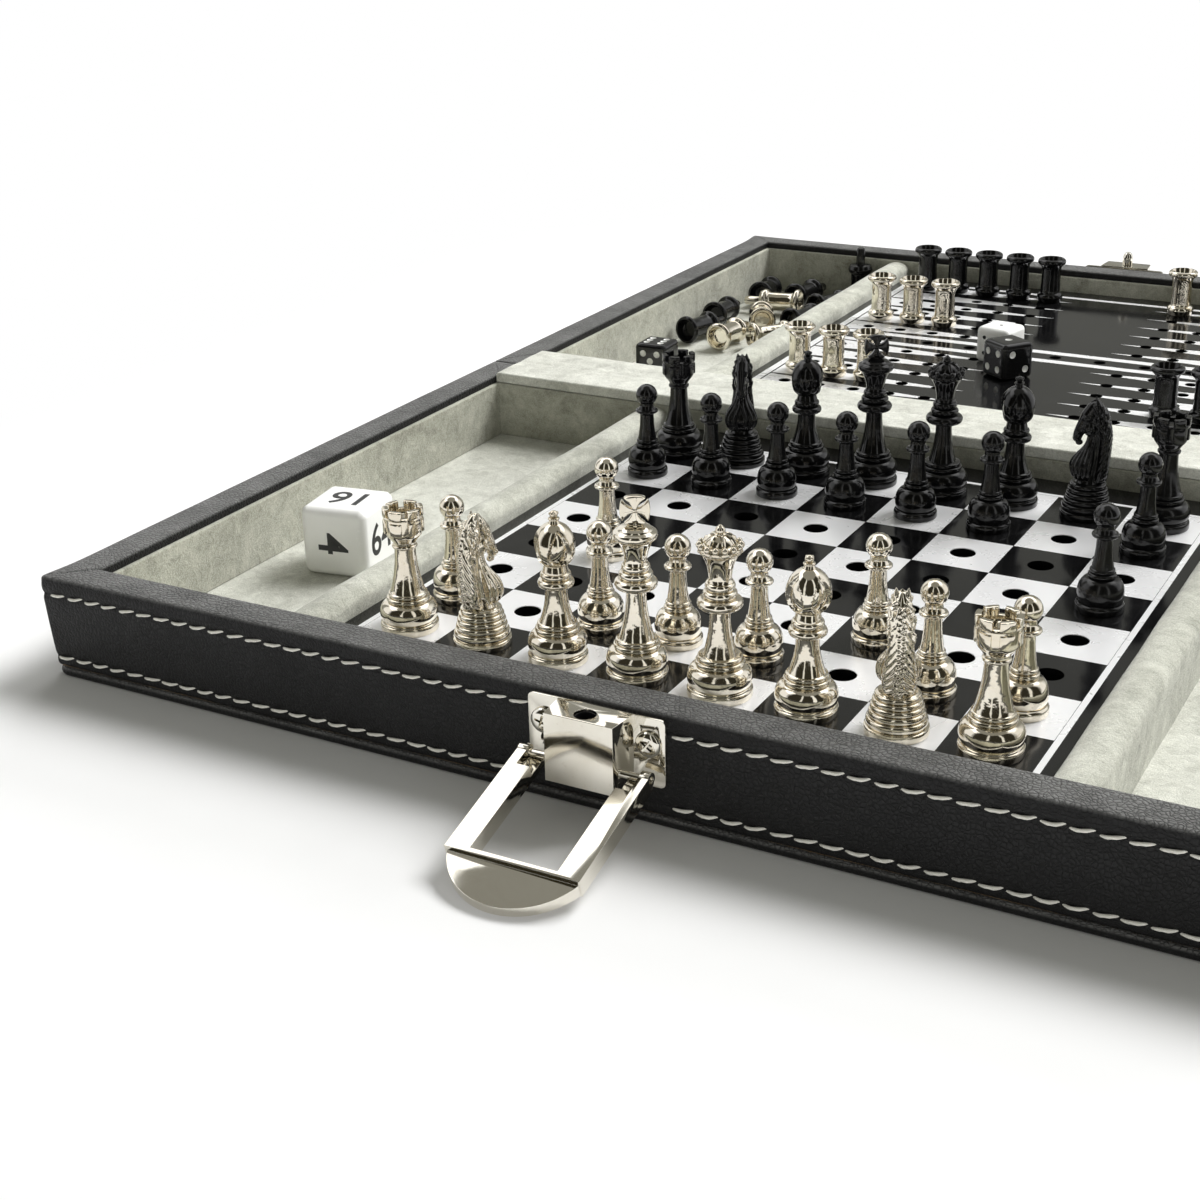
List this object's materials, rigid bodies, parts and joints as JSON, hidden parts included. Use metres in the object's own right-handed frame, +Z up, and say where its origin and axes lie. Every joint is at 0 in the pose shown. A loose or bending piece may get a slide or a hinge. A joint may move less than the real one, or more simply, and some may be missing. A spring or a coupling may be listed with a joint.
{
  "type": "games compendium box",
  "caption": "Folding leather-covered games box, open flat: peg chess board and peg backgammon board between lined storage trays, with metal men, counters, dice and a drop-loop clasp.",
  "frame": {"origin": "centre of the near tray's underside, on the case's centre line", "axes": "+X along the hinge to the right, +Y from the clasp to the hinge and the far tray, +Z up"},
  "size_m": [0.3062, 0.4656, 0.06],
  "materials": {
    "leather": "black grained leather with cream stitching",
    "board_wood": "plain board, covered",
    "suede": "grey-green suede-like lining",
    "board_black": "satin black plate",
    "board_silver": "satin silver areas",
    "nickel": "polished nickel plate",
    "nickel_men": "polished nickel-plated castings",
    "black_men": "gloss black castings",
    "white_dice": "polished white",
    "black_dice": "polished black"
  },
  "bodies": {
    "near_case": {"near_base_cover": "leather", "near_base_panel": "board_wood", "near_wall_boards": "board_wood", "near_leather_wrap": "leather", "near_floor_lining": "suede", "near_wall_lining": "suede", "near_left_divider": "suede", "near_right_divider": "suede", "near_board_bed": "board_black", "chess_plate": "board_black", "chess_silver": "board_silver", "near_hinge_strip": "suede", "clasp_body": "nickel", "clasp_screws": "nickel", "clasp_pin": "nickel"},
    "far_case": {"far_base_cover": "leather", "far_base_panel": "board_wood", "far_wall_boards": "board_wood", "far_leather_wrap": "leather", "far_floor_lining": "suede", "far_wall_lining": "suede", "far_left_divider": "suede", "far_right_divider": "suede", "far_board_bed": "board_black", "backgammon_plate": "board_black", "backgammon_silver": "board_silver", "far_hinge_strip": "suede", "keeper_body": "nickel", "keeper_screws": "nickel", "keeper_stud": "nickel"},
    "loop": {"clasp_loop": "nickel"},
    "silver_king_body": {"silver_king": "nickel_men"},
    "silver_queen_body": {"silver_queen": "nickel_men"},
    "silver_bishops_body": {"silver_bishops": "nickel_men"},
    "silver_knights_body": {"silver_knights": "nickel_men"},
    "silver_rooks_body": {"silver_rooks": "nickel_men"},
    "silver_pawns_body": {"silver_pawns": "nickel_men"},
    "black_king_body": {"black_king": "black_men"},
    "black_queen_body": {"black_queen": "black_men"},
    "black_bishops_body": {"black_bishops": "black_men"},
    "black_knights_body": {"black_knights": "black_men"},
    "black_rooks_body": {"black_rooks": "black_men"},
    "black_pawns_body": {"black_pawns": "black_men"},
    "silver_counters_body": {"silver_counters": "nickel_men"},
    "black_counters_body": {"black_counters": "black_men"},
    "silver_spare_counters_body": {"silver_spare_counters": "nickel_men"},
    "black_spare_counters_body": {"black_spare_counters": "black_men"},
    "white_die_body": {"white_die": "white_dice"},
    "black_die_body": {"black_die": "black_dice"},
    "spare_die_body": {"spare_die": "black_dice"},
    "doubling_cube_body": {"doubling_cube": "white_dice"}
  },
  "joints": [
    {"name": "fold", "type": "hinge", "parent": "near_case", "child": "far_case", "pos_m": [0, 0.103, 0.0269], "axis": [-1, 0, 0], "range_deg": [-125, 0]},
    {"name": "loop_swing", "type": "hinge", "parent": "near_case", "child": "loop", "pos_m": [0, -0.109, 0.0138], "axis": [-1, 0, 0], "range_deg": [0, 108]},
    {"name": "lift_silver_king", "type": "slide", "parent": "near_case", "child": "silver_king_body", "axis": [0, 0, 1], "range_m": [0, 0.03]},
    {"name": "lift_silver_queen", "type": "slide", "parent": "near_case", "child": "silver_queen_body", "axis": [0, 0, 1], "range_m": [0, 0.03]},
    {"name": "lift_silver_bishops", "type": "slide", "parent": "near_case", "child": "silver_bishops_body", "axis": [0, 0, 1], "range_m": [0, 0.03]},
    {"name": "lift_silver_knights", "type": "slide", "parent": "near_case", "child": "silver_knights_body", "axis": [0, 0, 1], "range_m": [0, 0.03]},
    {"name": "lift_silver_rooks", "type": "slide", "parent": "near_case", "child": "silver_rooks_body", "axis": [0, 0, 1], "range_m": [0, 0.03]},
    {"name": "lift_silver_pawns", "type": "slide", "parent": "near_case", "child": "silver_pawns_body", "axis": [0, 0, 1], "range_m": [0, 0.03]},
    {"name": "lift_black_king", "type": "slide", "parent": "near_case", "child": "black_king_body", "axis": [0, 0, 1], "range_m": [0, 0.03]},
    {"name": "lift_black_queen", "type": "slide", "parent": "near_case", "child": "black_queen_body", "axis": [0, 0, 1], "range_m": [0, 0.03]},
    {"name": "lift_black_bishops", "type": "slide", "parent": "near_case", "child": "black_bishops_body", "axis": [0, 0, 1], "range_m": [0, 0.03]},
    {"name": "lift_black_knights", "type": "slide", "parent": "near_case", "child": "black_knights_body", "axis": [0, 0, 1], "range_m": [0, 0.03]},
    {"name": "lift_black_rooks", "type": "slide", "parent": "near_case", "child": "black_rooks_body", "axis": [0, 0, 1], "range_m": [0, 0.03]},
    {"name": "lift_black_pawns", "type": "slide", "parent": "near_case", "child": "black_pawns_body", "axis": [0, 0, 1], "range_m": [0, 0.03]},
    {"name": "lift_doubling_cube", "type": "slide", "parent": "near_case", "child": "doubling_cube_body", "axis": [0, 0, 1], "range_m": [0, 0.03]},
    {"name": "lift_silver_counters", "type": "slide", "parent": "far_case", "child": "silver_counters_body", "axis": [0, 0, 1], "range_m": [0, 0.03]},
    {"name": "lift_black_counters", "type": "slide", "parent": "far_case", "child": "black_counters_body", "axis": [0, 0, 1], "range_m": [0, 0.03]},
    {"name": "lift_silver_spare_counters", "type": "slide", "parent": "far_case", "child": "silver_spare_counters_body", "axis": [0, 0, 1], "range_m": [0, 0.03]},
    {"name": "lift_black_spare_counters", "type": "slide", "parent": "far_case", "child": "black_spare_counters_body", "axis": [0, 0, 1], "range_m": [0, 0.03]},
    {"name": "lift_white_die", "type": "slide", "parent": "far_case", "child": "white_die_body", "axis": [0, 0, 1], "range_m": [0, 0.03]},
    {"name": "lift_black_die", "type": "slide", "parent": "far_case", "child": "black_die_body", "axis": [0, 0, 1], "range_m": [0, 0.03]},
    {"name": "lift_spare_die", "type": "slide", "parent": "far_case", "child": "spare_die_body", "axis": [0, 0, 1], "range_m": [0, 0.03]}
  ]
}
